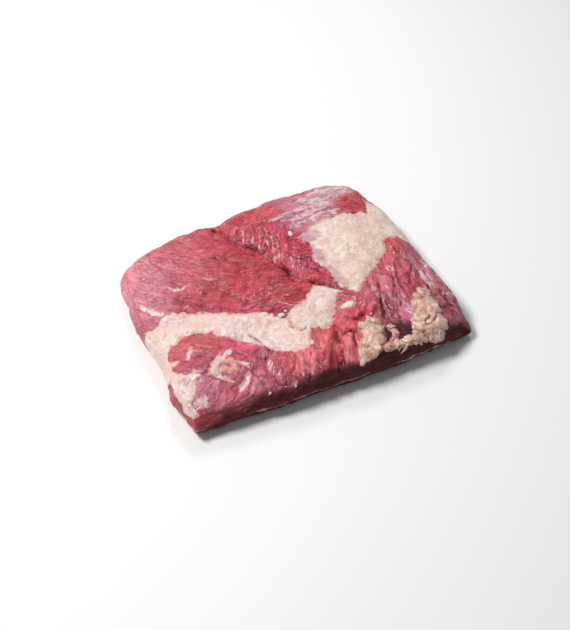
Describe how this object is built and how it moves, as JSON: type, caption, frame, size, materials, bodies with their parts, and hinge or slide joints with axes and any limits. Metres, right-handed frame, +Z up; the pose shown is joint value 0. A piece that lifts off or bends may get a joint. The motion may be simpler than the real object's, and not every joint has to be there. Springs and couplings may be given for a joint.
{
  "type": "raw beef brisket",
  "caption": "Raw beef brisket slab with a seam between its muscles and patches of firm outer fat, lying flat on its underside.",
  "frame": {"origin": "under the middle of the slab's box, on the plane that the underside rests on", "axes": "+X along the slab from its rounded thick-muscle end to its fat-capped end, +Y across it from the cut near side to the notched far side, +Z up"},
  "size_m": [0.3216, 0.258, 0.0478],
  "materials": {
    "raw_beef": "moist raw beef muscle with cream-white fat, softly glossy"
  },
  "bodies": {
    "root": {"brisket": "raw_beef"}
  },
  "joints": []
}
